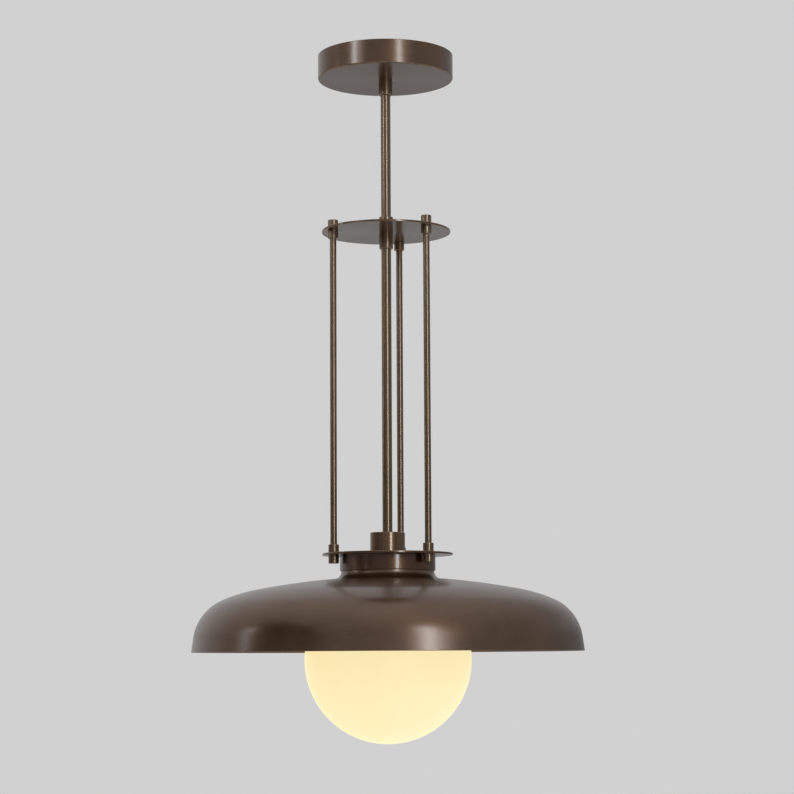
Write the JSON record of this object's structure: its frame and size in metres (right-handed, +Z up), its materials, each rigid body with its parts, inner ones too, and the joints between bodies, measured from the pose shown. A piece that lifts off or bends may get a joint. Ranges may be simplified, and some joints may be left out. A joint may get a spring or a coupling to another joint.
{
  "type": "industrial dome pendant light",
  "caption": "Pendant light with a wide shallow bronze dome over a lit opal globe, hung from a round canopy by a stem and a cage of rods between round plates.",
  "frame": {"origin": "midway between the ceiling bracket's two screw slots, on the ceiling plane", "axes": "+Z up along the stem, -Y towards the viewer of the picture, +X to that viewer's right"},
  "size_m": [0.47, 0.47, 0.8396],
  "materials": {
    "dark_bronze": "satin dark bronze patina, faintly brushed round the axis",
    "warm_bronze": "brushed warm bronze",
    "opal_glass": "satin opal glass, lit warm white",
    "zinc_steel": "zinc plated",
    "black_steel": "black oxide",
    "spring_steel": "bright rolled",
    "thread_brass": "turned brass",
    "terminal_plastic": "moulded, off white",
    "gasket_rubber": "silicone",
    "holder_porcelain": "glazed porcelain",
    "bulb_frost": "frosted",
    "cap_nickel": "nickel plated",
    "cap_insulator": "black vitreous",
    "lead_sheath": "round white sheath"
  },
  "bodies": {
    "frame": {"upper_plate": "dark_bronze", "lower_plate": "dark_bronze", "fitter_ring": "dark_bronze", "shade": "dark_bronze", "upper_stem": "warm_bronze", "lower_stem": "warm_bronze", "upper_coupler": "warm_bronze", "lower_coupler": "warm_bronze", "socket_cup": "warm_bronze", "rod_back": "warm_bronze", "rod_left": "warm_bronze", "rod_right": "warm_bronze", "upper_rod_cap_back": "warm_bronze", "upper_rod_cap_left": "warm_bronze", "upper_rod_cap_right": "warm_bronze", "upper_rod_collar_back": "warm_bronze", "upper_rod_collar_left": "warm_bronze", "upper_rod_collar_right": "warm_bronze", "lower_rod_collar_back": "warm_bronze", "lower_rod_collar_left": "warm_bronze", "lower_rod_collar_right": "warm_bronze", "lower_rod_cap_back": "warm_bronze", "lower_rod_cap_left": "warm_bronze", "lower_rod_cap_right": "warm_bronze", "ceiling_bracket": "zinc_steel", "bracket_nut": "zinc_steel", "bracket_washer": "zinc_steel", "earth_washer": "zinc_steel", "block_screw": "zinc_steel", "cup_nut": "zinc_steel", "gallery": "zinc_steel", "gallery_nut": "zinc_steel", "gallery_washer": "zinc_steel", "upper_rod_studs": "zinc_steel", "lower_rod_studs": "zinc_steel", "spring_rivets": "zinc_steel", "globe_springs": "spring_steel", "bracket_nipple": "thread_brass", "plate_nipple": "thread_brass", "holder_nipple": "thread_brass", "earth_screw": "thread_brass", "terminal_screws": "thread_brass", "holder_shell": "thread_brass", "holder_contact": "thread_brass", "terminal_block": "terminal_plastic", "globe_gasket": "gasket_rubber", "holder_cap": "holder_porcelain", "holder_insert": "holder_porcelain", "holder_skirt": "holder_porcelain", "stem_lead": "lead_sheath"},
    "canopy": {"canopy": "dark_bronze", "canopy_collar": "warm_bronze", "collar_set_screw": "black_steel"},
    "globe": {"globe": "opal_glass"},
    "bulb": {"bulb_glass": "bulb_frost", "bulb_cap": "cap_nickel", "bulb_insulator": "cap_insulator", "bulb_contact": "cap_nickel"}
  },
  "joints": [
    {"name": "canopy_slide", "type": "slide", "parent": "frame", "child": "canopy", "axis": [0, 0, 1], "range_m": [-0.14, 0]},
    {"name": "globe_drop", "type": "slide", "parent": "frame", "child": "globe", "axis": [0, 0, 1], "range_m": [-0.15, 0], "deforming": ["globe_springs"]},
    {"name": "bulb_unscrew", "type": "hinge", "parent": "frame", "child": "bulb", "pos_m": [0, 0, -0.66], "axis": [0, 0, -1], "range_deg": [0, 1980]}
  ]
}
